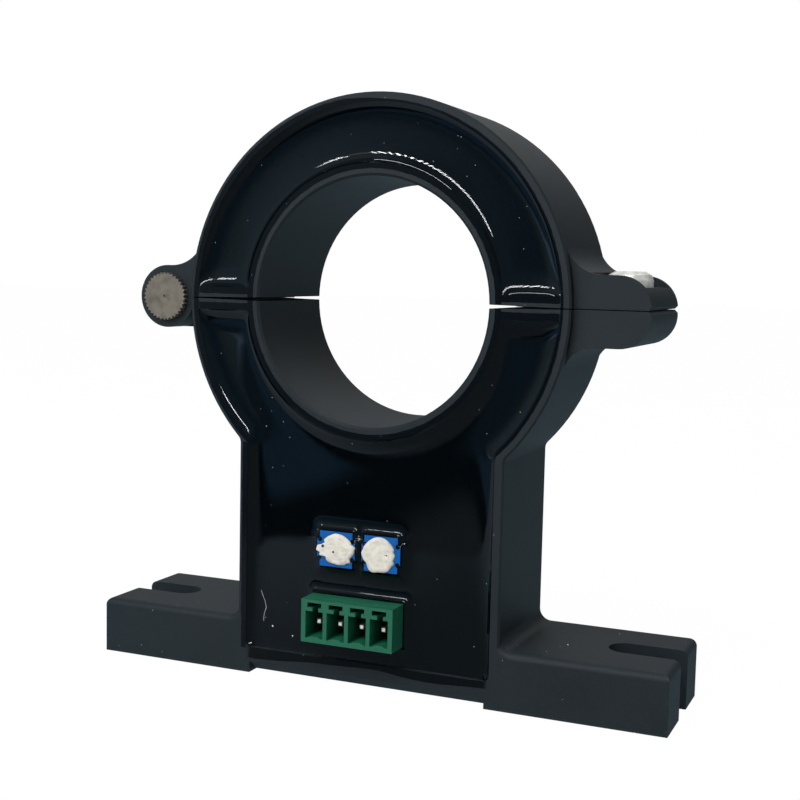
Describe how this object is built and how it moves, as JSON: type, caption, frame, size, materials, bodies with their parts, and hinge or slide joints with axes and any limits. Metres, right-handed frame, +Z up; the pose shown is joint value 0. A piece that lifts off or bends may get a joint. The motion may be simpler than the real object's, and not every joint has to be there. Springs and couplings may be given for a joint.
{
  "type": "split-core hall current sensor",
  "caption": "Split-core open-loop hall current sensor: hinged ring with a closing screw, on a pedestal with slotted feet, sealed trimmers and a plug-in header.",
  "frame": {"origin": "centre of the conductor window, halfway through the housing's depth", "axes": "+X along the base towards the closing screw, +Y along the conductor from the header side to the back, +Z up from the mounting feet"},
  "size_m": [0.1, 0.0269, 0.0961],
  "materials": {
    "housing": "fine matt texture",
    "potting": "wet-looking gloss",
    "pin_steel": "nickel plated, knurled",
    "screw_steel": "zinc plated",
    "brass": "turned",
    "core_steel": "laminated strip, varnished",
    "spacer": "moulded",
    "black_epoxy": "moulded epoxy",
    "tinned_leads": "tin plated",
    "board": "solder mask",
    "header_green": "moulded, satin",
    "trimmer_blue": "moulded, satin",
    "rotor": "stamped",
    "sealant": "cured lacquer",
    "capacitor_can": "drawn can",
    "ceramic_tan": "ceramic",
    "resistor_black": "ceramic with a printed layer"
  },
  "bodies": {
    "base": {"lower_housing": "housing", "lower_potting": "potting", "threaded_insert": "brass", "lower_core_left": "core_steel", "lower_core_right": "core_steel", "air_gap_spacer": "spacer", "hall_element": "black_epoxy", "hall_leads": "tinned_leads", "circuit_board": "board", "header_shell": "header_green", "header_pins": "tinned_leads", "trimmer_body_zero": "trimmer_blue", "trimmer_body_span": "trimmer_blue", "trimmer_rotor_zero": "rotor", "trimmer_rotor_span": "rotor", "trimmer_seal_zero": "sealant", "trimmer_seal_span": "sealant", "trimmer_pins": "tinned_leads", "amplifier_chip": "black_epoxy", "voltage_regulator": "black_epoxy", "protection_diode": "black_epoxy", "bulk_capacitor": "capacitor_can", "ceramic_capacitors": "ceramic_tan", "chip_resistors": "resistor_black"},
    "cover": {"upper_housing": "housing", "upper_potting": "potting", "upper_core": "core_steel", "hinge_pin": "pin_steel"},
    "screw": {"closing_screw": "screw_steel"}
  },
  "joints": [
    {"name": "cover_hinge", "type": "hinge", "parent": "base", "child": "cover", "pos_m": [-0.0386, 0, 0], "axis": [0, -1, 0], "range_deg": [0, 120]},
    {"name": "screw_draw", "type": "slide", "parent": "cover", "child": "screw", "axis": [0, 0, 1], "range_m": [0, 0.009]}
  ]
}
